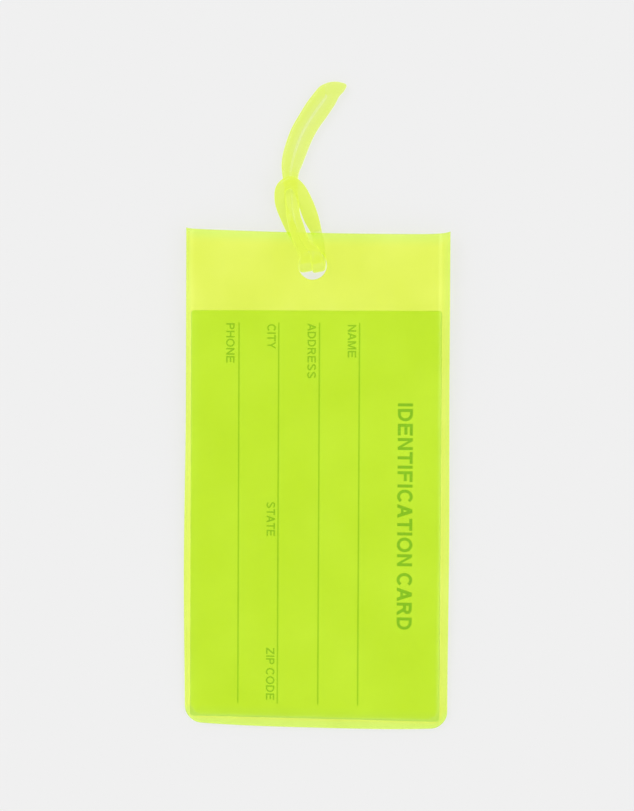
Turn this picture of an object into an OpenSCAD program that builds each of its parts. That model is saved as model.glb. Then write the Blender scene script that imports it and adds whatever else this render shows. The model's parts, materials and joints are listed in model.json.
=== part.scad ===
// Luggage tag lying on its back: a clear vinyl sleeve, open along its top edge, with
// an address card in it and a moulded vinyl strap hitched through its hole.
// X runs across the tag, Y from the hem to the strap's end, Z up off the table.
// The origin is under the middle of the whole tag, on the table.

/* [Sleeve] */
// Width of the sleeve
sleeve_w = 64; // [58:0.5:72]
// Height of the sleeve, from its hem to its open top edge
sleeve_h = 120; // [112:1:130]
// Thickness of one vinyl sheet
sheet_t = 0.45; // [0.3:0.05:0.6]
// Space between the two sheets
pocket_gap = 0.5; // [0.4:0.05:0.8]
// Width of the weld along the left edge
weld_left = 0.7; // [0.6:0.1:2]
// Width of the weld along the right edge
weld_right = 1.7; // [0.6:0.1:3]
// Width of the weld along the hem
weld_hem = 1.3; // [0.8:0.1:3]
// Radius of the two corners at the hem
hem_corner_r = 3.5; // [1:0.5:3.5]
// Radius of the pocket's two corners inside them
pocket_corner_r = 1.2; // [1:0.1:1.5]
// Diameter of the strap hole
hole_d = 7; // [6.8:0.1:8]
// Distance of the hole's centre below the top edge
hole_drop = 8.1; // [7:0.1:10]
// Distance of the hole's centre from the middle of the sleeve
hole_x = -1.3; // [-3:0.1:3]

/* [Card] */
// Width of the card
card_w = 61.2; // [54:0.2:61.2]
// Height of the card
card_h = 99.5; // [90:0.5:99.5]
// Thickness of the card
card_t = 0.3; // [0.2:0.05:0.3]
// Radius of the card's corners
card_corner_r = 0.8; // [0.5:0.1:3]

/* [Strap] */
// Width of the strap where it lies flat
strap_w = 5.5; // [4.5:0.1:5.6]
// Thickness of the strap
strap_t = 2.2; // [1.8:0.1:2.2]
// Width of the slit along the middle of the strap
slit_w = 0.16; // [0.1:0.02:0.3]
// How far the strap's end reaches past the hole's centre
strap_reach = 44.9; // [42:0.1:50]
// Lean of the sleeve, whose top edge lies on the strap
lean = 1.25; // [1.2:0.05:1.5]

/* [Hidden] */
$fn = 64;

hem_y = -(sleeve_h - hole_drop + strap_reach) / 2;
hole_v = sleeve_h - hole_drop;
pocket_mid = sheet_t + pocket_gap / 2;
card_side_gap = (sleeve_w - weld_left - weld_right - card_w) / 2;
card_foot_gap = 0.15;
run_w = (strap_w - slit_w) / 2;
cut_over = 1;

neon = [0.87, 0.97, 0.30, 0.6];
neon_strap = [0.88, 0.97, 0.42, 0.8];
lime_card = [0.74, 0.92, 0.24];

// The strap's two runs turn through the hole along this half circle.
turn_r = 2.1;
turn_y = 1.5;
turn_z = 3.22;
turn_facing = 10;
turn_steps = 6;
rings_per_place = 2;

// Below, each place on the strap is [x, y, z] from the hole's centre and the table, then
// the direction in degrees of the section's width, and the width and the thickness as
// shares of the flat strap's.
// Middle of the two runs in front of the sheet, from the turn up to the knot
front_run = [
    [-0.5, 3.0, 5.3, 20, 0.92, 1.0],
    [-1.6, 5.0, 5.4, 28, 0.74, 1.1],
    [-3.2, 8.1, 5.6, 24, 0.60, 1.2],
    [-4.3, 11.6, 5.3, 14, 0.57, 1.2],
    [-4.8, 15.0, 3.7, 7, 0.55, 1.2],
    [-5.1, 18.6, 2.2, 4, 0.58, 1.25],
    [-5.2, 22.2, 1.5, 2, 0.64, 1.25],
];
// One run behind the sheet: up the left, over the two runs, and down the right
eye_run = [
    [-1.9, 3.0, 1.13, 205, 0.50, 1.0],
    [-3.3, 5.2, 1.13, 212, 0.50, 1.0],
    [-5.1, 8.1, 1.13, 208, 0.51, 1.0],
    [-6.8, 11.7, 1.35, 200, 0.51, 1.0],
    [-7.7, 15.3, 2.8, 184, 0.50, 1.0],
    [-7.2, 18.4, 4.3, 155, 0.48, 1.0],
    [-5.3, 19.9, 4.9, 92, 0.52, 0.9],
    [-3.4, 18.6, 4.3, 35, 0.46, 1.0],
    [-2.1, 15.3, 2.8, 21, 0.43, 1.0],
    [-0.8, 11.7, 1.35, 20, 0.44, 1.0],
    [0.5, 8.1, 1.13, 18, 0.49, 1.0],
    [1.3, 5.2, 1.13, 10, 0.49, 1.0],
    [1.5, 3.0, 1.13, 5, 0.49, 1.0],
];
// Middle of the free tail, from the knot to its rounded end
tail_run = [
    [-5.18, 22.5, 1.5, -2, 0.65, 1.25],
    [-5.0, 24.6, 1.4, -6, 0.84, 1.15],
    [-4.5, 27.4, 1.25, -15, 0.96, 1.1],
    [-2.9, 31.8, 1.15, -26, 1.0, 1.0],
    [-0.8, 35.2, 1.15, -34, 1.0, 1.0],
    [1.0, 37.8, 1.15, -35, 1.0, 1.0],
    [3.0, 40.6, 1.15, -40, 0.96, 1.0],
    [5.2, 42.6, 1.15, -52, 0.84, 0.9],
    [6.9, 43.4, 1.15, -66, 0.58, 0.75],
    [8.0, 43.7, 1.15, -76, 0.30, 0.55],
];
// The tail as listed reaches tail_listed_reach, and stretches from the knot to fit.
tail_listed_reach = 44.9;
tail_from = tail_run[0][1];
tail_stretch = (strap_reach - tail_from) / (tail_listed_reach - tail_from);
// The slit stops this many places short of the tail's end.
slit_stop = 3;

// Smooth curve through rows of numbers, between row i and the next, at t from 0 to 1
function row_at(rows, i) = rows[min(max(i, 0), len(rows) - 1)];
function between(rows, i, t) =
    let (a = row_at(rows, i - 1), b = row_at(rows, i), c = row_at(rows, i + 1),
         d = row_at(rows, i + 2))
    0.5 * (2 * b + (c - a) * t + (2 * a - 5 * b + 4 * c - d) * t ^ 2
           + (3 * b - a - 3 * c + d) * t ^ 3);
function smooth(rows, steps) = concat(
    [for (i = [0 : len(rows) - 2]) for (k = [0 : steps - 1]) between(rows, i, k / steps)],
    [rows[len(rows) - 1]]);

function place(row) = [row[0], row[1], row[2]];
function unit(v) = v / norm(v);
// One ring: a rectangle with its corners cut off, square to the route
function ring(rows, i) =
    let (row = rows[i],
         along = unit(place(row_at(rows, i + 1)) - place(row_at(rows, i - 1))),
         facing = [cos(row[3]), sin(row[3]), 0],
         wide = unit(facing - (facing * along) * along),
         thick = cross(along, wide),
         w = row[4] / 2, t = row[5] / 2, cut = min(w, t) * 0.45)
    [for (q = [[w, t - cut], [w - cut, t], [cut - w, t], [-w, t - cut],
               [-w, cut - t], [cut - w, -t], [w - cut, -t], [w, cut - t]])
        place(row) + q[0] * wide + q[1] * thick];

// Closed solid swept along the rows, with sides in triangles
module swept(rows) {
    n = len(rows);
    sides = 8;
    skin = [for (i = [0 : n - 2]) for (k = [0 : sides - 1])
        let (a = i * sides + k, b = i * sides + (k + 1) % sides)
        each [[a, b + sides, b], [a, a + sides, b + sides]]];
    polyhedron(
        points = [for (i = [0 : n - 1]) each ring(rows, i)],
        faces = concat(
            [[for (k = [0 : sides - 1]) k]],
            skin,
            [[for (k = [sides - 1 : -1 : 0]) (n - 1) * sides + k]]),
        convexity = 8);
}

// A listed place with its width and thickness in millimetres
function sized(row) = [row[0], row[1], row[2], row[3], row[4] * strap_w, row[5] * strap_t];
// Left (side -1) or right (side 1) run of the pair that lies either side of a place
function half_row(row, side) =
    let (w = (row[4] * strap_w - slit_w) / 2, shift = side * (w + slit_w) / 2)
    [row[0] + shift * cos(row[3]), row[1] + shift * sin(row[3]), row[2],
     side > 0 ? row[3] : row[3] + 180, w, row[5] * strap_t];
// The turn through the hole, from 0 degrees in front to 180 behind
function turn_row(angle, side) =
    [side * (run_w + slit_w) / 2, turn_y - turn_r * sin(angle), turn_z + turn_r * cos(angle),
     side > 0 ? turn_facing : turn_facing + 180, run_w, strap_t];
hitch_rows = concat(
    [for (i = [len(front_run) - 1 : -1 : 0]) half_row(front_run[i], -1)],
    [for (i = [1 : turn_steps - 1]) turn_row(180 * i / turn_steps, -1)],
    [for (row = eye_run) sized(row)],
    [for (i = [turn_steps - 1 : -1 : 1]) turn_row(180 * i / turn_steps, 1)],
    [for (row = front_run) half_row(row, 1)]);
function stretched(row) =
    [row[0], tail_from + (row[1] - tail_from) * tail_stretch, row[2], row[3], row[4], row[5]];
tail_rows = [for (row = tail_run) sized(stretched(row))];
slit_rows = [for (row = concat([sized(front_run[len(front_run) - 1])],
                               [for (i = [0 : len(tail_run) - 1 - slit_stop]) tail_rows[i]]))
    [row[0], row[1], row[2], row[3], slit_w, 3 * strap_t]];

// Places the sleeve: its hem is on the table and its top edge leans on the strap
module lean_sleeve() {
    translate([0, hem_y, 0]) rotate([lean, 0, 0]) children();
}

// Places what is measured from the hole's centre
module at_hole() {
    translate([hole_x, hem_y + hole_v, 0]) children();
}

// A rectangle from the origin, with its two corners at the foot rounded
module rounded_foot(w, h, r) {
    difference() {
        square([w, h]);
        for (x = [0, w]) translate([x, 0]) difference() {
            square(2 * r, center = true);
            translate([x > 0 ? -r : r, r]) circle(r);
        }
    }
}

// Outline of a sheet
module sheet_outline() {
    translate([-sleeve_w / 2, 0]) rounded_foot(sleeve_w, sleeve_h, hem_corner_r);
}

// The pocket's inside, open at the top
module pocket_outline() {
    translate([-sleeve_w / 2 + weld_left, weld_hem])
        rounded_foot(sleeve_w - weld_left - weld_right, sleeve_h, pocket_corner_r);
}

// One vinyl sheet with its half of the weld on three sides. It lies on the table side
// of the pocket's middle, and is turned over for the front.
module sheet() {
    difference() {
        linear_extrude(pocket_mid) sheet_outline();
        translate([0, 0, sheet_t]) linear_extrude(pocket_gap) pocket_outline();
        translate([hole_x, hole_v, -cut_over]) cylinder(d = hole_d, h = 3 * cut_over);
    }
}

module back_sheet() {
    color(neon) lean_sleeve() sheet();
}

module front_sheet() {
    color(neon) lean_sleeve() translate([0, 0, 2 * pocket_mid]) mirror([0, 0, 1]) sheet();
}

// The card stands on the hem's weld, in the middle of the pocket's thickness.
module id_card() {
    color(lime_card) lean_sleeve()
        translate([weld_left + card_side_gap - sleeve_w / 2, weld_hem + card_foot_gap,
                   pocket_mid - card_t / 2])
        linear_extrude(card_t) difference() {
            square([card_w, card_h]);
            for (x = [0, card_w]) for (y = [0, card_h]) translate([x, y]) difference() {
                square(2 * card_corner_r, center = true);
                translate([x > 0 ? -card_corner_r : card_corner_r,
                           y > 0 ? -card_corner_r : card_corner_r]) circle(card_corner_r);
            }
        }
}

// The strap's eye, its turns through the hole and the two runs that its eye holds
module strap_hitch() {
    color(neon_strap) at_hole() swept(smooth(hitch_rows, rings_per_place));
}

// The strap's free end, with the slit that goes round a handle
module strap_tail() {
    color(neon_strap) at_hole() difference() {
        swept(smooth(tail_rows, rings_per_place + 1));
        swept(smooth(slit_rows, rings_per_place + 1));
    }
}

back_sheet();
front_sheet();
id_card();
strap_hitch();
strap_tail();
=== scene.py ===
"""A luggage tag on a pale table: a neon vinyl sleeve with a printed card in it, and a slit
vinyl strap hitched through its hole."""

import json
import math

import bmesh
import bpy
import numpy as np
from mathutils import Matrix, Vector


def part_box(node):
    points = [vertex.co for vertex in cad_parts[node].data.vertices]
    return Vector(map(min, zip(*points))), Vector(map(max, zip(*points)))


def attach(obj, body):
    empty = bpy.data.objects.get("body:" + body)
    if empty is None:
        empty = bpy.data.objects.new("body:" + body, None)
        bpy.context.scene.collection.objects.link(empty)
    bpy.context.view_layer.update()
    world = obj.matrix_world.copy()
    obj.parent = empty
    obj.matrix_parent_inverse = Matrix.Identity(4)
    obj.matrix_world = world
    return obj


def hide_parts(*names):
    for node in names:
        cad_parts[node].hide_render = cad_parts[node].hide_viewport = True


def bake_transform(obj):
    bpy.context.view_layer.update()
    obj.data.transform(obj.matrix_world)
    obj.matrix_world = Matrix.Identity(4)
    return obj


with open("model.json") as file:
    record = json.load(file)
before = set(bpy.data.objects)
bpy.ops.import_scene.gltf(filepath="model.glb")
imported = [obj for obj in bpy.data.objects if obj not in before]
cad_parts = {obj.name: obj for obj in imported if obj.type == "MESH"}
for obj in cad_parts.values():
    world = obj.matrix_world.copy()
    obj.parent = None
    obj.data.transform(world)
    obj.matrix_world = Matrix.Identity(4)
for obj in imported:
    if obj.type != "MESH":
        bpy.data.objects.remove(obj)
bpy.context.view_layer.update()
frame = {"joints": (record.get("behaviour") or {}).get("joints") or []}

MM = 0.001

# ---------------------------------------------------------------- places from the frame

joints = {joint["name"]: joint for joint in frame["joints"]}
ACROSS = Vector((1, 0, 0))
UP_SLEEVE = Vector(joints["card_slide"]["axis"]).normalized()
OUT_OF_SLEEVE = ACROSS.cross(UP_SLEEVE)
HOLE = Vector(joints["strap_swing"]["pos_m"])

sleeve_low, sleeve_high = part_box("back_sheet")
card_low, card_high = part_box("id_card")
HEM = Vector((0, sleeve_low[1], 0))
SLEEVE_W = sleeve_high[0] - sleeve_low[0]
SLEEVE_H = (sleeve_high[1] - sleeve_low[1]) / UP_SLEEVE.y
CARD_W = card_high[0] - card_low[0]
CARD_H = (card_high[1] - card_low[1]) / UP_SLEEVE.y
CARD_LEFT = card_low[0]
HOLE_U = HOLE.x
HOLE_V = (HOLE - HEM).dot(UP_SLEEVE)

# Sizes of the sleeve and the card: as designed, but for the rounder corners at the hem
SHEET_T = 0.45 * MM
POCKET_GAP = 0.5 * MM
SLEEVE_MID = SHEET_T + POCKET_GAP / 2
WELD_LEFT, WELD_RIGHT, WELD_HEM = 0.7 * MM, 1.7 * MM, 1.3 * MM
HEM_CORNER_R = 3.9 * MM
HOLE_R = 3.5 * MM
CARD_T = 0.3 * MM
CARD_FOOT = WELD_HEM + 0.15 * MM
CARD_CORNER_R = 0.8 * MM


def on_sleeve(u, v, w):
    """World place of a point u across the sleeve, v up from its hem and w off its back."""
    return HEM + ACROSS * u + UP_SLEEVE * v + OUT_OF_SLEEVE * w


# ---------------------------------------------------------------- small tools

# Edges that turn more than this many degrees stay sharp
SMOOTH_ANGLE, CARD_SMOOTH_ANGLE, STRAP_SMOOTH_ANGLE = 40, 30, 60


def smoothstep(x):
    """0 up to x = 0, 1 from x = 1, and smooth between."""
    x = min(max(x, 0.0), 1.0)
    return x * x * (3 - 2 * x)


def bump(x, centre, half):
    """1 at the centre, and 0 from half away on."""
    return smoothstep(1 - abs(x - centre) / half)


def new_object(name, points, faces, material, body, smooth_angle=SMOOTH_ANGLE):
    """A mesh object with smooth faces, sharp only at real edges, riding on a body if given."""
    mesh = bpy.data.meshes.new(name)
    mesh.from_pydata([tuple(p) for p in points], [], faces)
    return finish_object(name, mesh, material, body, smooth_angle)


def finish_object(name, mesh, material, body, smooth_angle=SMOOTH_ANGLE):
    """Turns a mesh into such an object."""
    mesh.validate()
    mesh.update()
    tidy = bmesh.new()
    tidy.from_mesh(mesh)
    bmesh.ops.recalc_face_normals(tidy, faces=tidy.faces)
    tidy.to_mesh(mesh)
    tidy.free()
    mesh.polygons.foreach_set("use_smooth", [True] * len(mesh.polygons))
    mesh.set_sharp_from_angle(angle=math.radians(smooth_angle))
    mesh.materials.append(material)
    piece = bpy.data.objects.new(name, mesh)
    bpy.context.scene.collection.objects.link(piece)
    if body:
        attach(piece, body)
    return piece


# ---------------------------------------------------------------- camera, floor and light

CAMERA_PLACE = (0.0501, 0.0042, 0.4647)
CAMERA_TURN = (-0.54, 6.2, 0.41)
LENS, SENSOR = 85, 36
FLOOR_HALF, FLOOR_GREY, FLOOR_GLOW = 3.0, 0.18, 0.675
# The room's brightness, and overhead the share of it that is left from one height to another
ROOM, OVERHEAD, OVERHEAD_FROM, OVERHEAD_FULL = 1.0, 0.12, 0.80, 0.95


def add_camera():
    """Looks down on the tag, a little from its right, as the photograph does."""
    data = bpy.data.cameras.new("camera")
    data.lens = LENS
    data.sensor_width = SENSOR
    camera = bpy.data.objects.new("camera", data)
    camera.location = CAMERA_PLACE
    camera.rotation_euler = [math.radians(a) for a in CAMERA_TURN]
    bpy.context.scene.collection.objects.link(camera)
    bpy.context.scene.camera = camera


def node_material(name):
    """A new material with nodes, its node tree and its shader."""
    material = bpy.data.materials.new(name)
    material.use_nodes = True
    tree = material.node_tree
    shader = tree.nodes["Principled BSDF"]
    return material, tree, shader


def add_floor():
    """A matt pale table that glows a little, so that shadows on it stay faint."""
    half = FLOOR_HALF
    corners = [(-half, -half, 0), (half, -half, 0), (half, half, 0), (-half, half, 0)]
    material, _, shader = node_material("floor_paint")
    shader.inputs["Base Color"].default_value = (FLOOR_GREY, FLOOR_GREY, FLOOR_GREY, 1)
    shader.inputs["Roughness"].default_value = 0.9
    shader.inputs["Specular IOR Level"].default_value = 0.0
    shader.inputs["Emission Color"].default_value = (1, 1, 1, 1)
    shader.inputs["Emission Strength"].default_value = FLOOR_GLOW
    floor = new_object("floor", corners, [(0, 1, 2, 3)], material, None)


def add_world():
    """An even pale room with a darker patch overhead, where a camera would hang."""
    world = bpy.data.worlds.new("studio")
    bpy.context.scene.world = world
    world.use_nodes = True
    tree = world.node_tree
    place = tree.nodes.new("ShaderNodeTexCoord")
    split = tree.nodes.new("ShaderNodeSeparateXYZ")
    ramp = tree.nodes.new("ShaderNodeValToRGB")
    tree.links.new(place.outputs["Generated"], split.inputs[0])
    tree.links.new(split.outputs["Z"], ramp.inputs[0])
    ramp.color_ramp.interpolation = "EASE"
    for stop, height, grey in zip(ramp.color_ramp.elements, (OVERHEAD_FROM, OVERHEAD_FULL),
                                  (1.0, OVERHEAD)):
        stop.position = height
        stop.color = (grey, grey, grey, 1)
    tree.links.new(ramp.outputs[0], tree.nodes["Background"].inputs["Color"])
    tree.nodes["Background"].inputs["Strength"].default_value = ROOM


def add_sun(name, azimuth, elevation, strength, spread):
    """A far soft light, azimuth degrees anticlockwise of +X and spread degrees across."""
    data = bpy.data.lights.new(name, "SUN")
    data.energy = strength
    data.angle = math.radians(spread)
    lamp = bpy.data.objects.new(name, data)
    a, e = math.radians(azimuth), math.radians(elevation)
    towards = Vector((math.cos(a) * math.cos(e), math.sin(a) * math.cos(e), math.sin(e)))
    lamp.rotation_euler = towards.to_track_quat("Z", "Y").to_euler()
    bpy.context.scene.collection.objects.link(lamp)


# ---------------------------------------------------------------- materials

# Colours, each as the two that noise drifts between
SHEET_DYE = (0.873, 0.874, 0.361), (0.912, 0.903, 0.437)
SHEET_RIM_DYE = (0.81, 0.868, 0.425), (0.85, 0.898, 0.495)
# The strap's dye is dark, so that its painted glow rather than the lamps gives most of its colour
# and little shade shows on it
STRAP_DYE = (0.23, 0.275, 0.03), (0.25, 0.295, 0.04)
CARD_DYE = (0.572, 0.802, 0.125), (0.622, 0.847, 0.145)
# Painted shade near the card's edges: greyer and a little darker, as where the sheet bulges off the
# card
CARD_EDGE_SHADE = (0.525, 0.765, 0.185), (0.575, 0.81, 0.215)
TITLE_INK = (0.15, 0.44, 0.02), (0.19, 0.49, 0.03)
LABEL_INK = (0.20, 0.49, 0.02), (0.25, 0.54, 0.03)
RULE_INK = (0.27, 0.57, 0.02), (0.33, 0.62, 0.04)
# Glow of the vinyls, as its colour and its strength: partly the fluorescence of their dyes and
# partly painted light, which lifts the sheets above the lit table and evens out the shading on the
# strap
SHEET_GLOW = (0.58, 1.0, 0.04), 0.081
STRAP_GLOW = (0.605, 0.73, 0.064), 0.85
# Scales of the noises, from the dye's soft clouds to the ink's fine speckle
CLOUDS, DIMPLES, HAZE, FIBRES, SPECKLE = 60.0, 350.0, 900.0, 2500.0, 3000.0
# How far in from the card's edges the painted shade reaches, and how much of it at each edge: its
# axis, place, way in and share
EDGE_SHADE_REACH = 3.5 * MM
EDGE_SHADES = (("X", card_low[0], 1, 0.4), ("X", card_high[0], -1, 0.2), ("Y", card_low[1], 1, 1))


def noise_to(tree, scale, detail=3.0, roughness=0.5):
    """Noise fixed to the object, from 0 to 1."""
    place = tree.nodes.new("ShaderNodeTexCoord")
    noise = tree.nodes.new("ShaderNodeTexNoise")
    noise.inputs["Scale"].default_value = scale
    noise.inputs["Detail"].default_value = detail
    noise.inputs["Roughness"].default_value = roughness
    tree.links.new(place.outputs["Object"], noise.inputs["Vector"])
    return noise.outputs["Fac"]


def ramp_to(tree, factor, colours, places=(0.3, 0.7)):
    """Runs from one colour to the other as factor goes from the first place to the second."""
    ramp = tree.nodes.new("ShaderNodeValToRGB")
    for stop, place, colour in zip(ramp.color_ramp.elements, places, colours):
        stop.position = place
        stop.color = (*colour, 1)
    tree.links.new(factor, ramp.inputs[0])
    return ramp.outputs[0]


def range_to(tree, factor, low, high):
    """Spreads a factor from 0 to 1 over another range."""
    mapped = tree.nodes.new("ShaderNodeMapRange")
    mapped.inputs["To Min"].default_value = low
    mapped.inputs["To Max"].default_value = high
    tree.links.new(factor, mapped.inputs["Value"])
    return mapped.outputs["Result"]


def bump_to(tree, shader, height, distance, strength):
    """Gives a shader's surface a fine relief."""
    relief = tree.nodes.new("ShaderNodeBump")
    relief.inputs["Distance"].default_value = distance
    relief.inputs["Strength"].default_value = strength
    tree.links.new(height, relief.inputs["Height"])
    tree.links.new(relief.outputs["Normal"], shader.inputs["Normal"])


def vinyl(name, coat, glow):
    """Soft neon PVC: glossy, and glowing, partly with the fluorescence of its dye and partly with
    painted light.
    """
    material, tree, shader = node_material(name)
    tree.links.new(range_to(tree, noise_to(tree, HAZE), 0.12, 0.22), shader.inputs["Roughness"])
    bump_to(tree, shader, noise_to(tree, DIMPLES, 2.0), 0.01 * MM, 0.5)
    shader.inputs["Coat Weight"].default_value = coat
    shader.inputs["Coat Roughness"].default_value = 0.12
    # Painted light: the glow stands partly for fluorescence and partly for light that the lamps do
    # not give
    shader.inputs["Emission Color"].default_value = (*glow[0], 1)
    shader.inputs["Emission Strength"].default_value = glow[1]
    return material, tree, shader


def attribute_to(tree, name):
    """A number that the mesh holds for each of its points."""
    node = tree.nodes.new("ShaderNodeAttribute")
    node.attribute_name = name
    return node.outputs["Fac"]


def mix_to(tree, factor, first, second):
    """The first colour where factor is 0 and the second where it is 1."""
    mix = tree.nodes.new("ShaderNodeMix")
    mix.data_type = "RGBA"
    # The node has sockets of every type, so its colours go by number
    colour_a, colour_b, colour_out = mix.inputs[6], mix.inputs[7], mix.outputs[2]
    tree.links.new(factor, mix.inputs["Factor"])
    tree.links.new(first, colour_a)
    tree.links.new(second, colour_b)
    return colour_out


def sheet_vinyl():
    """The thin clear sheets, which tint what lies behind them, and are paler along their "rim"."""
    material, tree, shader = vinyl("sheet_vinyl", 0.35, SHEET_GLOW)
    clouds = noise_to(tree, CLOUDS)
    dye = ramp_to(tree, clouds, SHEET_DYE)
    rim = ramp_to(tree, clouds, SHEET_RIM_DYE)
    tree.links.new(mix_to(tree, attribute_to(tree, "rim"), dye, rim), shader.inputs["Base Color"])
    shader.inputs["IOR"].default_value = 1.08
    shader.inputs["Transmission Weight"].default_value = 0.985
    return material


def strap_vinyl():
    """The thicker, milkier strap, clearer where its "milk" is less."""
    material, tree, shader = vinyl("strap_vinyl", 0.12, STRAP_GLOW)
    dye = ramp_to(tree, noise_to(tree, CLOUDS), STRAP_DYE)
    tree.links.new(dye, shader.inputs["Base Color"])
    shader.inputs["IOR"].default_value = 1.25
    tree.links.new(attribute_to(tree, "milk"), shader.inputs["Alpha"])
    return material


def card_paper():
    """Dyed card with a fine tooth, and painted shade along its left and right edges and its foot:
    greyer and a little darker there, as the card looks where the sheet bulges off it.
    """
    material, tree, shader = node_material("card_paper")
    fibres = noise_to(tree, FIBRES, 6.0, 0.7)
    plain = ramp_to(tree, fibres, CARD_DYE)
    edge_shaded = ramp_to(tree, fibres, CARD_EDGE_SHADE)
    place = tree.nodes.new("ShaderNodeTexCoord")
    split = tree.nodes.new("ShaderNodeSeparateXYZ")
    tree.links.new(place.outputs["Object"], split.inputs[0])
    edge = None
    for axis, at, inward, share in EDGE_SHADES:
        near = tree.nodes.new("ShaderNodeMapRange")
        near.interpolation_type = "SMOOTHSTEP"
        near.inputs["From Min"].default_value = at
        near.inputs["From Max"].default_value = at + inward * EDGE_SHADE_REACH
        near.inputs["To Min"].default_value = share
        near.inputs["To Max"].default_value = 0
        tree.links.new(split.outputs[axis], near.inputs["Value"])
        if edge:
            most = tree.nodes.new("ShaderNodeMath")
            most.operation = "MAXIMUM"
            tree.links.new(edge, most.inputs[0])
            tree.links.new(near.outputs["Result"], most.inputs[1])
            edge = most.outputs[0]
        else:
            edge = near.outputs["Result"]
    # The painted edge shade is mixed into the card's colour here
    tree.links.new(mix_to(tree, edge, plain, edge_shaded), shader.inputs["Base Color"])
    tree.links.new(range_to(tree, fibres, 0.55, 0.75), shader.inputs["Roughness"])
    bump_to(tree, shader, fibres, 0.01 * MM, 0.4)
    shader.inputs["Specular IOR Level"].default_value = 0.2
    return material


def print_ink(name, colours):
    """Matt ink, slightly uneven as it sits on the fibres."""
    material, tree, shader = node_material(name)
    speckle = noise_to(tree, SPECKLE, 4.0)
    tree.links.new(ramp_to(tree, speckle, colours), shader.inputs["Base Color"])
    tree.links.new(range_to(tree, speckle, 0.5, 0.7), shader.inputs["Roughness"])
    shader.inputs["Specular IOR Level"].default_value = 0.2
    return material


# ---------------------------------------------------------------- sleeve

# How far the left and right sides bow out: along all their length, and more about a place
# up the sleeve, within a reach of it
LEFT_OUT, LEFT_BOW, LEFT_BOW_V, LEFT_BOW_REACH = 0.32 * MM, 0.4 * MM, 37 * MM, 42 * MM
RIGHT_BOW, RIGHT_BOW_V, RIGHT_BOW_REACH = 0.2 * MM, 45 * MM, 40 * MM
FOOT_BOW = 0.73 * MM
# The top edge falls from left to right, and turns up again at its two corners. The sheet
# follows it from TOP_FADE below it
TOP_SAG, TOP_FALL, TOP_FADE = 0.68 * MM, 1.5 * MM, 8 * MM
TOP_UP_LEFT, TOP_UP_RIGHT, TOP_UP_RIGHT_REACH = 0.25 * MM, 0.65 * MM, 2 * MM
# Length over which a sheet rises off its weld, and the gap and the sheet's thickness at it
POUCH_SLOPE, WELD_GAP, WELD_T = 1.3 * MM, 0.012 * MM, 0.36 * MM
# How far down the lips gape, how much of it the back one does, and each lip's lift, place
# across the sleeve and reach
LIP_DROP, BACK_LIP = 15 * MM, 0.5
LIPS = ((0.55 * MM, -22 * MM, 9.5 * MM), (0.7 * MM, 19.5 * MM, 11 * MM))
# Where the waves of the front sheet and the back sheet start
FRONT_WAVE, BACK_WAVE = 0.4, 2.1
# Lines that the welding tool pressed: their edge, how far they are inside it, and half their width
PRESS_DEPTH = 0.07 * MM
PRESSED = (("left", 0.55 * MM, 0.3 * MM), ("right", 0.75 * MM, 0.35 * MM),
           ("right", 1.45 * MM, 0.3 * MM), ("hem", 0.7 * MM, 0.35 * MM))
# Where the sheets are paler: their edge, how far in, and how much
RIMS = (("left", 1.5 * MM, 0.5), ("right", 2.6 * MM, 0.6), ("hem", 2.2 * MM, 1),
        ("top", 3.5 * MM, 0.9))


def graded(length, fine_start, fine_end, coarse):
    """Places from 0 to length, close together near both ends and coarse between."""
    start = np.cumsum([0.0] + fine_start)
    end = length - np.cumsum([0.0] + fine_end)[::-1]
    inside = max(2, round((end[0] - start[-1]) / coarse))
    return np.concatenate([start, np.linspace(start[-1], end[0], inside + 1)[1:-1], end])


def half_widths(v):
    """The sleeve's reach to the left and right of its middle, before its hem corners are
    rounded. The soft sheets bow out a little over the card."""
    bow_left = LEFT_OUT + LEFT_BOW * bump(v, LEFT_BOW_V, LEFT_BOW_REACH)
    bow_right = RIGHT_BOW * bump(v, RIGHT_BOW_V, RIGHT_BOW_REACH)
    return SLEEVE_W / 2 + bow_left, SLEEVE_W / 2 + bow_right


def corner_trim(v):
    """How much the round of a hem corner takes off the width."""
    r = HEM_CORNER_R
    return r - math.sqrt(max(r * r - (r - v) ** 2, 0.0)) if v < r else 0.0


def foot_bow(u):
    """Height of the hem over its straight line: it bows down between its corners."""
    return -FOOT_BOW * (1 - min(abs(2 * u / SLEEVE_W), 1) ** 3)


def edge_distances(u, v):
    """How far a point is inside the left side, the right side and the hem."""
    half_left, half_right = half_widths(v)
    r = HEM_CORNER_R
    left, right, hem = u + half_left, half_right - u, v
    corner = half_left - r if u < 0 else half_right - r
    if v < r and abs(u) > corner:
        round_in = r - math.hypot(abs(u) - corner, r - v)
        hem = round_in
        if u < 0:
            left = round_in
        else:
            right = round_in
    return left, right, hem


def pouch(u, v):
    """0 on the weld, 1 where the sheet stands off it over the card."""
    share = 1.0
    for inside, weld in zip(edge_distances(u, v), (WELD_LEFT, WELD_RIGHT, WELD_HEM)):
        share *= smoothstep((inside - weld) / POUCH_SLOPE)
    return share


def lip_lift(u, v):
    """How far the open top edge gapes, on either side of the strap."""
    rise = smoothstep((v - (SLEEVE_H - LIP_DROP)) / LIP_DROP) ** 1.5
    return rise * sum(lift * bump(u, place, reach) for lift, place, reach in LIPS)


def ripple(u, v, turn):
    """Slight unevenness of a soft sheet, as two crossing waves."""
    return (0.05 * MM * math.sin(u / (9 * MM) + turn) * math.sin(v / (17 * MM) + 2 * turn)
            + 0.03 * MM * math.sin(u / (4.1 * MM) - v / (12 * MM) + turn))


def top_edge(u):
    """Height of the top edge over its straight line."""
    to_left, to_right = u + SLEEVE_W / 2, SLEEVE_W / 2 - u
    sag = -TOP_SAG + TOP_FALL * (to_right / SLEEVE_W) ** 2
    return (sag + TOP_UP_LEFT * math.exp(-to_left / MM)
            + TOP_UP_RIGHT * math.exp(-to_right / TOP_UP_RIGHT_REACH))


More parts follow.
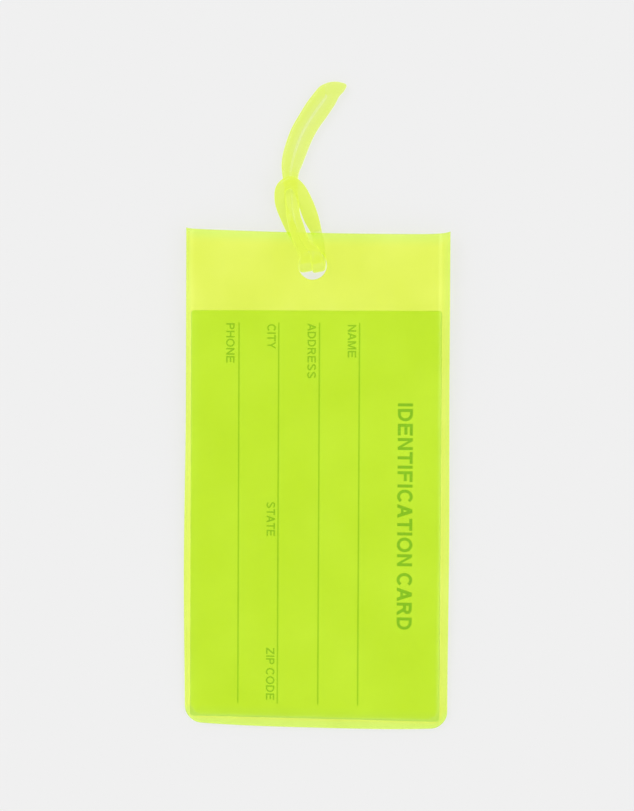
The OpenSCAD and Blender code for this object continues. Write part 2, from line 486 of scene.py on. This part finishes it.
def weld_press(u, v):
    """Depth of the lines that the welding tool pressed beside the edges."""
    inside = dict(zip(("left", "right", "hem"), edge_distances(u, v)))
    return PRESS_DEPTH * max(bump(inside[edge], place, half) for edge, place, half in PRESSED)


def sheet_points(u, v, front):
    """Heights of a sheet's pocket face and outside face, off the back of the sleeve."""
    full = pouch(u, v)
    inner = WELD_GAP + (POCKET_GAP / 2 - WELD_GAP) * full
    thick = WELD_T + (SHEET_T - WELD_T) * full - weld_press(u, v)
    lift = lip_lift(u, v) * (1.0 if front else BACK_LIP)
    wave = abs(ripple(u, v, FRONT_WAVE if front else BACK_WAVE)) * full
    side = 1 if front else -1
    near = SLEEVE_MID + side * (inner + lift + wave)
    far = SLEEVE_MID + side * (inner + lift + wave + thick)
    return near, far


def vinyl_sheet(name, node, front, material):
    """One sheet of the sleeve: a closed thin solid, cut through at the hole."""
    coarse = 1.3 * MM
    at_welds = ([0.12 * MM] * 3 + [0.15 * MM] * 8 + [0.2 * MM] * 8 + [0.4 * MM] * 4
                + [0.8 * MM] * 2)
    at_top = [0.15 * MM] * 10 + [0.3 * MM] * 6 + [0.6 * MM] * 4
    us = graded(SLEEVE_W, at_welds, at_welds, coarse) - SLEEVE_W / 2
    vs = graded(SLEEVE_H, at_welds, at_top, coarse)
    points, columns = [], len(us)
    for v0 in vs:
        half_left, half_right = (half - corner_trim(v0) for half in half_widths(v0))
        near_top = smoothstep((v0 - (SLEEVE_H - TOP_FADE)) / TOP_FADE)
        near_foot = 1 - smoothstep(v0 / WELD_HEM)
        for u0 in us:
            u = u0 / (SLEEVE_W / 2) * (half_left if u0 < 0 else half_right)
            v = v0 + top_edge(u0) * near_top + foot_bow(u) * near_foot
            inner, outer = sheet_points(u, v0, front)
            points += [on_sleeve(u, v, inner), on_sleeve(u, v, outer)]
    faces = []
    # Each place of the grid has two points, one on either face of the sheet
    at = lambda row, column, side: 2 * (row * columns + column) + side
    for i in range(len(vs) - 1):
        for k in range(columns - 1):
            for side in (0, 1):
                faces.append((at(i, k, side), at(i, k + 1, side),
                              at(i + 1, k + 1, side), at(i + 1, k, side)))
        for k in (0, columns - 1):
            faces.append((at(i, k, 0), at(i + 1, k, 0), at(i + 1, k, 1), at(i, k, 1)))
    for i in (0, len(vs) - 1):
        for k in range(columns - 1):
            faces.append((at(i, k, 0), at(i, k, 1), at(i, k + 1, 1), at(i, k + 1, 0)))
    sheet = new_object(name, points, faces, material, None)
    punch_hole(sheet)
    mesh = sheet.data
    rim = mesh.attributes.new("rim", "FLOAT", "POINT")
    for vertex in mesh.vertices:
        rim.data[vertex.index].value = rim_share(vertex.co.x, (vertex.co - HEM).dot(UP_SLEEVE))
    mesh.polygons.foreach_set("use_smooth", [True] * len(mesh.polygons))
    mesh.set_sharp_from_angle(angle=math.radians(SMOOTH_ANGLE))
    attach(sheet, "sleeve")
    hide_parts(node)


def rim_share(u, v):
    """How much paler the dye is: most at the hem and the open edge, less along the sides."""
    inside = dict(zip(("left", "right", "hem"), edge_distances(u, v)))
    inside["top"] = SLEEVE_H + top_edge(u) - v
    return max(share * (1 - smoothstep(inside[edge] / reach)) for edge, reach, share in RIMS)


def punch_hole(sheet):
    """Cuts the strap's round hole through a sheet."""
    steps, reach = 96, 4 * MM
    points, faces = [], []
    for i in range(steps):
        a = 2 * math.pi * i / steps
        u, v = HOLE_U + HOLE_R * math.cos(a), HOLE_V + HOLE_R * math.sin(a)
        points += [on_sleeve(u, v, -reach), on_sleeve(u, v, reach)]
        j = (i + 1) % steps
        faces.append((2 * i, 2 * j, 2 * j + 1, 2 * i + 1))
    faces += [tuple(2 * i for i in reversed(range(steps))), tuple(2 * i + 1 for i in range(steps))]
    mesh = bpy.data.meshes.new("punch")
    mesh.from_pydata([tuple(p) for p in points], [], faces)
    punch = bpy.data.objects.new("punch", mesh)
    bpy.context.scene.collection.objects.link(punch)
    cut = sheet.modifiers.new("hole", "BOOLEAN")
    cut.operation = "DIFFERENCE"
    cut.solver = "EXACT"
    cut.object = punch
    bpy.context.view_layer.update()
    punched = bpy.data.meshes.new_from_object(
        sheet.evaluated_get(bpy.context.evaluated_depsgraph_get()))
    sheet.modifiers.clear()
    sheet.data = punched
    bpy.data.objects.remove(punch)


# ---------------------------------------------------------------- card and its print

def card_outline(steps=6):
    """Corners of the card, rounded, anticlockwise from its lower right."""
    r = CARD_CORNER_R
    left, right = CARD_LEFT, CARD_LEFT + CARD_W
    foot, top = CARD_FOOT, CARD_FOOT + CARD_H
    corners = ((right - r, foot + r, -90), (right - r, top - r, 0),
               (left + r, top - r, 90), (left + r, foot + r, 180))
    outline = []
    for u, v, start in corners:
        for i in range(steps + 1):
            a = math.radians(start + 90 * i / steps)
            outline.append((u + r * math.cos(a), v + r * math.sin(a)))
    return outline


def add_card(material):
    """The card, with its cut edges very slightly rounded."""
    soft = 0.04 * MM
    low, high = SLEEVE_MID - CARD_T / 2, SLEEVE_MID + CARD_T / 2
    outline = card_outline()
    # Each layer is the outline, drawn in about the card's middle where the edges are softened
    middle_u, middle_v = CARD_LEFT + CARD_W / 2, CARD_FOOT + CARD_H / 2
    points = []
    for w, inset in ((low, soft), (low + soft, 0), (high - soft, 0), (high, soft)):
        for u, v in outline:
            shrink_u, shrink_v = 1 - 2 * inset / CARD_W, 1 - 2 * inset / CARD_H
            points.append(on_sleeve(middle_u + (u - middle_u) * shrink_u,
                                    middle_v + (v - middle_v) * shrink_v, w))
    n = len(outline)
    faces = [tuple(reversed(range(n))), tuple(range(3 * n, 4 * n))]
    for layer in range(3):
        for i in range(n):
            j = (i + 1) % n
            faces.append((layer * n + i, layer * n + j, (layer + 1) * n + j, (layer + 1) * n + i))
    card = new_object("card", points, faces, material, "card", CARD_SMOOTH_ANGLE)
    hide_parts("id_card")


# Height of the print off the back of the sleeve, just clear of the card, and its thickness
PRINT_W = SLEEVE_MID + CARD_T / 2 + 0.004 * MM
PRINT_T = 0.02 * MM
# Each rule's place across the sleeve, and where the rules start and stop
RULES = [-19.25 * MM, -9.5 * MM, 0.45 * MM, 10.2 * MM]
RULE_FOOT, RULE_TOP, RULE_T = 4.9 * MM, 98.0 * MM, 0.34 * MM
# Height of the capitals, and their strokes as shares of it
LABEL_CAP, TITLE_CAP = 2.05 * MM, 3.65 * MM
LABEL_STROKE, TITLE_STROKE = 0.17, 0.2
# Space between letters and in place of a letter, and how much each sloping or round one takes off
LETTER_GAP, WORD_GAP = 0.17, 0.14
CLOSER = {"A": 0.07, "T": 0.05, "Y": 0.06, "C": 0.03, "O": 0.03}
# Plain field names: word, its baseline across the sleeve, where it starts, and its length
LABELS = [
    ("PHONE", -22.4 * MM, 97.8 * MM, 9.6 * MM),
    ("CITY", -12.3 * MM, 97.6 * MM, 6.0 * MM),
    ("STATE", -12.3 * MM, 54.3 * MM, 8.3 * MM),
    ("ZIP CODE", -12.3 * MM, 18.6 * MM, 12.8 * MM),
    ("ADDRESS", -2.45 * MM, 97.8 * MM, 13.3 * MM),
    ("NAME", 7.35 * MM, 97.5 * MM, 7.9 * MM),
]
TITLE = ("IDENTIFICATION CARD", 19.6 * MM, 78.6 * MM, 54.9 * MM)


def add_rules(material):
    """The four printed lines to write on, as thin bars."""
    points, faces = [], []
    for u in RULES:
        start = len(points)
        for w in (PRINT_W, PRINT_W + PRINT_T):
            for du, v in ((-1, RULE_FOOT), (1, RULE_FOOT), (1, RULE_TOP), (-1, RULE_TOP)):
                points.append(on_sleeve(u + du * RULE_T / 2, v, w))
        for bar_face in ((3, 2, 1, 0), (4, 5, 6, 7), (0, 1, 5, 4), (1, 2, 6, 5), (2, 3, 7, 6),
                         (3, 0, 4, 7)):
            faces.append(tuple(start + i for i in bar_face))
    rules = new_object("card_rules", points, faces, material, "card")


def arc(x, y, rx, ry, start, end, steps=14):
    """Points round a part of an ellipse, between two angles in degrees."""
    angles = [math.radians(start + (end - start) * i / steps) for i in range(steps + 1)]
    return [(x + rx * math.cos(a), y + ry * math.sin(a)) for a in angles]


def stroke(line, s):
    """Outline of a line drawn with a flat-ended pen s wide."""
    left, right = [], []
    for i, (x, y) in enumerate(line):
        (x0, y0), (x1, y1) = line[max(i - 1, 0)], line[min(i + 1, len(line) - 1)]
        length = math.hypot(x1 - x0, y1 - y0)
        dx, dy = (y0 - y1) / length * s / 2, (x1 - x0) / length * s / 2
        left.append((x + dx, y + dy))
        right.append((x - dx, y - dy))
    return left + right[::-1]


def bowl(s, foot, flat, reach):
    """Outline and hole of the round part that P, R and D have on their stems."""
    middle, ry = (1 + foot) / 2, (1 - foot) / 2
    rx = reach - flat
    return (arc(flat, middle, rx, ry, -90, 90),
            [(s, foot + s), *arc(flat, middle, rx - s, ry - s, -90, 90), (s, 1 - s)])


def letter(name, s):
    """A plain sans-serif capital 1 high with strokes s wide: its width and its outlines."""
    if name == "I":
        return s, [[(0, 0), (s, 0), (s, 1), (0, 1)]]
    if name == "D":
        outside, hole = bowl(s, 0, 0.36, 0.82)
        return 0.82, [[(0, 0), *outside, (0, 1)], hole]
    if name == "P":
        outside, hole = bowl(s, 0.40, 0.40, 0.73)
        return 0.73, [[(0, 0), (s, 0), (s, 0.40), *outside, (0, 1)], hole]
    if name == "R":
        outside, hole = bowl(s, 0.42, 0.42, 0.76)
        leg = [(s, 0.42), (0.36, 0.42), (0.62, 0), (0.62 + 1.2 * s, 0), (0.36 + 1.25 * s, 0.43)]
        return 0.82, [[(0, 0), (s, 0), *leg, *outside[3:], (0, 1)], hole]
    if name in "EF":
        top = 0.78 if name == "E" else 0.72
        foot = [(0, 0), (top, 0), (top, s), (s, s)] if name == "E" else [(0, 0), (s, 0)]
        low, high = (0.44, 0.44 + s) if name == "E" else (0.42, 0.42 + s)
        return top, [[*foot, (s, low), (top - 0.06, low), (top - 0.06, high), (s, high),
                      (s, 1 - s), (top, 1 - s), (top, 1), (0, 1)]]
    if name == "H":
        return 0.8, [[(0, 0), (s, 0), (s, 0.44), (0.8 - s, 0.44), (0.8 - s, 0), (0.8, 0), (0.8, 1),
                      (0.8 - s, 1), (0.8 - s, 0.44 + s), (s, 0.44 + s), (s, 1), (0, 1)]]
    if name == "N":
        return 0.8, [[(0, 0), (s, 0), (s, 0.70), (0.8 - s, 0), (0.8, 0), (0.8, 1),
                      (0.8 - s, 1), (0.8 - s, 0.30), (s, 1), (0, 1)]]
    if name == "M":
        return 0.96, [[(0, 0), (s, 0), (s, 0.74), (0.48 - s / 2, 0), (0.48 + s / 2, 0),
                       (0.96 - s, 0.74), (0.96 - s, 0), (0.96, 0), (0.96, 1),
                       (0.96 - 1.35 * s, 1), (0.48, 0.25), (1.35 * s, 1), (0, 1)]]
    if name == "T":
        return 0.8, [[(0, 1 - s), (0.4 - s / 2, 1 - s), (0.4 - s / 2, 0), (0.4 + s / 2, 0),
                      (0.4 + s / 2, 1 - s), (0.8, 1 - s), (0.8, 1), (0, 1)]]
    if name == "Y":
        return 0.9, [[(0.45 - s / 2, 0), (0.45 + s / 2, 0), (0.45 + s / 2, 0.42), (0.9, 1),
                      (0.9 - 1.2 * s, 1), (0.45, 0.58), (1.2 * s, 1), (0, 1), (0.45 - s / 2, 0.42)]]
    if name == "Z":
        return 0.78, [[(0, 0), (0.78, 0), (0.78, s), (1.3 * s, s), (0.78, 1 - s), (0.78, 1),
                       (0.03, 1), (0.03, 1 - s), (0.78 - 1.3 * s, 1 - s), (0, s)]]
    if name == "A":
        inside = 0.92 - 1.3 * s
        lean = lambda y: 1.15 * s + (0.46 - 1.15 * s) * y / inside
        low, high = 0.24, 0.24 + 0.9 * s
        return 0.92, [[(0, 0), (1.15 * s, 0), (lean(low), low), (0.92 - lean(low), low),
                       (0.92 - 1.15 * s, 0), (0.92, 0), (0.46 + 0.6 * s, 1), (0.46 - 0.6 * s, 1)],
                      [(lean(high), high), (0.92 - lean(high), high), (0.46, inside)]]
    if name == "O":
        return 0.98, [arc(0.49, 0.5, 0.49, 0.52, 0, 360, 36)[:-1],
                      arc(0.49, 0.5, 0.49 - s, 0.52 - s, 0, 360, 36)[:-1]]
    if name == "C":
        return 0.9, [stroke(arc(0.47, 0.5, 0.47 - s / 2, 0.52 - s / 2, 38, 322, 30), s)]
    if name == "S":
        high = arc(0.40, 0.755, 0.385 - s / 2, 0.265 - s / 2, 15, 250, 16)
        low = arc(0.40, 0.255, 0.40 - s / 2, 0.275 - s / 2, 70, -165, 16)
        return 0.8, [stroke(high + low, s)]
    return WORD_GAP, []


def letter_gap(first, second):
    """Space between two letters, less where one of them slopes or overhangs."""
    return LETTER_GAP - sum(CLOSER.get(c, 0) for c in (first, second))


def add_words(name, words, cap, s, material):
    """Words along the card, read from the top edge down, with their tops to the right."""
    curve = bpy.data.curves.new(name, "CURVE")
    curve.dimensions = "2D"
    curve.fill_mode = "BOTH"
    curve.extrude = 0.5
    for word, u0, v0, length in words:
        widths = [letter(c, s)[0] for c in word]
        gaps = [letter_gap(*pair) for pair in zip(word, word[1:])] + [0.0]
        scale = length / (sum(widths) + sum(gaps))
        start = 0.0
        for c, width, gap in zip(word, widths, gaps):
            for outline in letter(c, s)[1]:
                spline = curve.splines.new("POLY")
                spline.points.add(len(outline) - 1)
                for point, (x, y) in zip(spline.points, outline):
                    # A point lies in millimetres along and up the line of print
                    point.co = ((v0 - (start + x) * scale) / MM, (u0 + y * cap) / MM, 0, 1)
                spline.use_cyclic_u = True
            start += width + gap
    holder = bpy.data.objects.new(name, curve)
    bpy.context.scene.collection.objects.link(holder)
    bpy.context.view_layer.update()
    flat = bpy.data.meshes.new_from_object(
        holder.evaluated_get(bpy.context.evaluated_depsgraph_get()))
    bpy.data.objects.remove(holder)
    for vertex in flat.vertices:
        v, u, w = vertex.co
        vertex.co = on_sleeve(u * MM, v * MM, PRINT_W + (w + 0.5) * PRINT_T)
    merge = bmesh.new()
    merge.from_mesh(flat)
    bmesh.ops.remove_doubles(merge, verts=merge.verts, dist=0.001 * MM)
    merge.to_mesh(flat)
    merge.free()
    piece = finish_object(name, flat, material, "card")


# ---------------------------------------------------------------- strap

# In this part lengths are in mm, x and y from the hole's centre and z from the table.
# The strap's width and thickness, the slit along it, and the height of its middle at rest
STRAP_W, STRAP_T, SLIT_W, STRAP_REST_Z = 5.5, 2.2, 0.01, 1.15
# The turn through the hole: its width, its middle, its radius, which way its width faces in
# degrees, and its steps
TURN_W, TURN_X, TURN_Y, TURN_Z, TURN_R = 6.4, -0.1, 1.5, 3.22, 2.1
TURN_FACING, TURN_STEPS = 10, 6
# The runs follow the design's, fitted closer to the photograph. Each row is a place x, y, z,
# the direction of the section's width in degrees, and its width and thickness as shares of the
# strap's. Rows of FRONT_RUN and TAIL_RUN stand for the two sides of the slit together.
FRONT_RUN = [
    [-0.6, 2.9, 5.3, 24, 0.90, 1.0],
    [-1.95, 4.5, 5.4, 33, 0.72, 1.1],
    [-2.9, 6.5, 5.5, 26, 0.68, 1.2],
    [-3.7, 9.0, 5.6, 19, 0.66, 1.2],
    [-4.5, 11.8, 5.3, 12, 0.60, 1.2],
    [-5.05, 15.0, 3.7, 7, 0.58, 1.2],
    [-5.5, 18.6, 2.2, 4, 0.60, 1.25],
    [-5.8, 22.2, 1.5, 2, 0.72, 1.25],
]
EYE_RUN = [
    [-1.9, 3.0, 1.13, 205, 0.50, 1.0],
    [-3.2, 5.2, 1.13, 212, 0.50, 1.0],
    [-5.05, 8.1, 1.13, 208, 0.51, 1.0],
    [-6.8, 11.7, 1.35, 200, 0.51, 1.0],
    [-8.0, 15.3, 2.8, 184, 0.50, 1.0],
    [-7.7, 18.5, 4.3, 155, 0.48, 1.0],
    [-5.4, 19.9, 4.9, 92, 0.54, 0.9],
    [-3.3, 18.5, 4.3, 35, 0.54, 1.0],
    [-1.95, 15.3, 2.8, 21, 0.66, 1.0],
    [-0.7, 11.7, 1.35, 20, 0.67, 1.0],
    [0.65, 8.1, 1.13, 18, 0.49, 1.0],
    [1.3, 5.2, 1.13, 10, 0.49, 1.0],
    [1.5, 3.0, 1.13, 5, 0.49, 1.0],
]
TAIL_RUN = [
    [-5.5, 24.6, 1.4, -6, 0.90, 1.15],
    [-4.8, 27.4, 1.25, -15, 1.00, 1.1],
    [-3.2, 31.8, 1.15, -26, 1.05, 1.0],
    [-1.3, 35.2, 1.15, -34, 1.05, 1.0],
    [0.5, 37.9, 1.15, -37, 1.09, 1.0],
    [2.4, 40.5, 1.15, -42, 1.06, 1.0],
]
# Where the slit ends, and the strap's outline round it, from the left run over to the right
SLIT_END, SLIT_END_R = (2.7, 41.4), 0.06
END_OUTLINE = [(1.1, 43.4), (2.5, 44.2), (4.4, 44.65), (6.3, 44.5), (7.7, 43.85), (7.2, 42.5),
               (5.9, 41.0)]
END_THICK = 0.85
# Sections from one row to the next
RING_STEPS = 7
# The section's number of points, and how square its corners are: where it is free, and where
# its inner side lies flush against the other run
SECTION_POINTS, FREE_POWER, FLUSH_POWER = 28, 3.2, 12
# How milky the strap is: in the knot, along the tail's left and right runs, along its slit,
# and under the sleeve
KNOT_MILK, LEFT_MILK, RIGHT_MILK, SLIT_MILK, UNDER_MILK = 0.74, 0.62, 0.57, 0.47, 0.20
# Where these begin and end along y, and the lengths over which they change
UNDER_FROM, UNDER_TO, UNDER_FADE = 1.8, 7.2, 1.5
TAIL_FROM, TAIL_FADE = 20.5, 4
SLIT_FROM, SLIT_FROM_FADE, SLIT_TO, SLIT_TO_FADE = 26, 3, 41, 1.5
# The slit's light line across a run, whose inner side is at -1: its full part and its fade
LINE_TO, LINE_FADE = -0.85, 0.35


def single_row(row):
    """A section of the eye, where each side of the slit is a run by itself."""
    return [*row[:4], row[4] * STRAP_W, row[5] * STRAP_T, 0]


def end_row(point):
    """The section between the end of the slit and a point of the outline."""
    dx, dy = point[0] - SLIT_END[0], point[1] - SLIT_END[1]
    reach = math.hypot(dx, dy)
    middle = (reach + SLIT_END_R) / 2 / reach
    return [SLIT_END[0] + dx * middle, SLIT_END[1] + dy * middle, STRAP_REST_Z,
            math.degrees(math.atan2(dy, dx)), reach - SLIT_END_R, END_THICK * STRAP_T, 1]


def half_row(row, side):
    """The left (-1) or right (1) run of the pair that lies either side of a place."""
    x, y, z, facing, share, thick = row
    width = (share * STRAP_W - SLIT_W) / 2
    shift, a = side * (width + SLIT_W) / 2, math.radians(facing)
    return [x + shift * math.cos(a), y + shift * math.sin(a), z,
            facing if side > 0 else facing + 180, width, thick * STRAP_T, 1]


def turn_row(angle, side):
    """The turn through the hole, from 0 degrees in front to 180 behind."""
    a, width = math.radians(angle), (TURN_W - SLIT_W) / 2
    return [TURN_X + side * (width + SLIT_W) / 2, TURN_Y - TURN_R * math.sin(a),
            TURN_Z + TURN_R * math.cos(a), TURN_FACING if side > 0 else TURN_FACING + 180,
            width, STRAP_T, 1 - angle / 180]


def strap_rows():
    """The whole strap as one closed ring of sections, once round the slit: place, direction,
    width, thickness, and 1 where the inner side lies flush against the other run or 0 where
    it is round."""
    turn = [180 * i / TURN_STEPS for i in range(1, TURN_STEPS)]
    pair = FRONT_RUN + TAIL_RUN
    rows = [half_row(row, -1) for row in reversed(pair)]
    rows += [turn_row(a, -1) for a in turn] + [single_row(row) for row in EYE_RUN]
    rows += [turn_row(a, 1) for a in reversed(turn)] + [half_row(row, 1) for row in pair]
    rows += [end_row(point) for point in reversed(END_OUTLINE)]
    rows = np.array(rows)
    rows[:, 3] = np.degrees(np.unwrap(np.radians(rows[:, 3])))
    return rows


def smooth_ring(rows, steps):
    """Catmull-Rom curve through a closed ring of rows, whose direction may turn right round."""
    whole_turn = round((rows[0, 3] - rows[-1, 3]) / 360) * 360

    def row(i):
        wraps, k = divmod(i, len(rows))
        extra = np.zeros(rows.shape[1])
        extra[3] = -whole_turn * wraps
        return rows[k] + extra

    out = []
    for i in range(len(rows)):
        a, b, c, d = row(i - 1), row(i), row(i + 1), row(i + 2)
        for k in range(steps):
            t = k / steps
            out.append(0.5 * (2 * b + (c - a) * t + (2 * a - 5 * b + 4 * c - d) * t ** 2
                              + (3 * b - a - 3 * c + d) * t ** 3))
    return np.array(out)


def milk(x, y, t, flush):
    """How milky the strap is at a place of its path, t across from its inner side, -1, to its
    outer side, 1."""
    if flush < 0.99:
        # In the turn or the eye
        under = ((1 - flush) * smoothstep((y - UNDER_FROM) / UNDER_FADE)
                 * (1 - smoothstep((y - UNDER_TO) / UNDER_FADE)))
        return KNOT_MILK + (UNDER_MILK - KNOT_MILK) * under
    if t < -0.96:
        # The two runs touch here, so nothing shows between them
        return 0.0
    middle = np.interp(y, [row[1] for row in TAIL_RUN], [row[0] for row in TAIL_RUN])
    run = LEFT_MILK if x < middle else RIGHT_MILK
    at_slit = ((1 - smoothstep((t - LINE_TO) / LINE_FADE))
               * smoothstep((y - SLIT_FROM) / SLIT_FROM_FADE)
               * (1 - smoothstep((y - SLIT_TO) / SLIT_TO_FADE)))
    tail = run + (SLIT_MILK - run) * at_slit
    return KNOT_MILK + (tail - KNOT_MILK) * smoothstep((y - TAIL_FROM) / TAIL_FADE)


def add_strap(material):
    """The moulded strap: one ring of soft-cornered section, hitched through the hole."""
    rows = smooth_ring(strap_rows(), RING_STEPS)
    count, sides = len(rows), SECTION_POINTS
    foot = Vector((HOLE.x, HOLE.y, 0))
    points, milks = [], []
    for i, (x, y, z, facing, width, thick, flush) in enumerate(rows):
        ahead, behind = rows[(i + 1) % count], rows[i - 1]
        along = Vector(ahead[:3] - behind[:3]).normalized()
        a = math.radians(facing)
        wide = Vector((math.cos(a), math.sin(a), 0))
        # Square to the path where it climbs, and as given where it lies flat
        wide = (wide - along * wide.dot(along) * min(1, 4 * abs(along.z))).normalized()
        across = along.cross(wide).normalized()
        for k in range(sides):
            b = 2 * math.pi * (k + 0.5) / sides
            c, s = math.cos(b), math.sin(b)
            # Only the inner half of the section is squared to lie flush
            square = FREE_POWER + (FLUSH_POWER - FREE_POWER) * flush if c < 0 else FREE_POWER
            t = math.copysign(abs(c) ** (2 / square), c)
            p = wide * (width / 2 * t)
            q = across * (thick / 2 * math.copysign(abs(s) ** (2 / square), s))
            milks.append(milk(x, y, t, flush))
            points.append(foot + (Vector((x, y, z)) + p + q) * MM)
    faces = []
    for i in range(count):
        for k in range(sides):
            a, b = i * sides + k, i * sides + (k + 1) % sides
            c, d = ((i + 1) % count) * sides + (k + 1) % sides, ((i + 1) % count) * sides + k
            faces.append((a, b, c, d))
    strap = new_object("strap", points, faces, material, None, STRAP_SMOOTH_ANGLE)
    strap.data.attributes.new("milk", "FLOAT", "POINT").data.foreach_set("value", milks)
    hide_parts("strap_hitch", "strap_tail")
    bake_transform(strap)


# ---------------------------------------------------------------- the tag

# Enough bounces for light to cross every layer of strap and sheet
MAX_BOUNCES, MAX_TRANSPARENT = 16, 40

scene = bpy.context.scene
scene.view_settings.view_transform = "Standard"
scene.cycles.max_bounces = MAX_BOUNCES
scene.cycles.transmission_bounces = MAX_BOUNCES
scene.cycles.transparent_max_bounces = MAX_TRANSPARENT
add_camera()
add_floor()
add_world()
add_sun("key_light", azimuth=140, elevation=50, strength=0.76, spread=35)
add_sun("fill_light", azimuth=-20, elevation=45, strength=0.5, spread=45)

paper = card_paper()
title_ink = print_ink("title_ink", TITLE_INK)
label_ink = print_ink("label_ink", LABEL_INK)
rule_ink = print_ink("rule_ink", RULE_INK)

add_strap(strap_vinyl())
add_card(paper)
add_rules(rule_ink)
add_words("card_labels", LABELS, LABEL_CAP, LABEL_STROKE, label_ink)
add_words("card_title", [TITLE], TITLE_CAP, TITLE_STROKE, title_ink)
clear = sheet_vinyl()
vinyl_sheet("vinyl_back", "back_sheet", False, clear)
vinyl_sheet("vinyl_front", "front_sheet", True, clear)
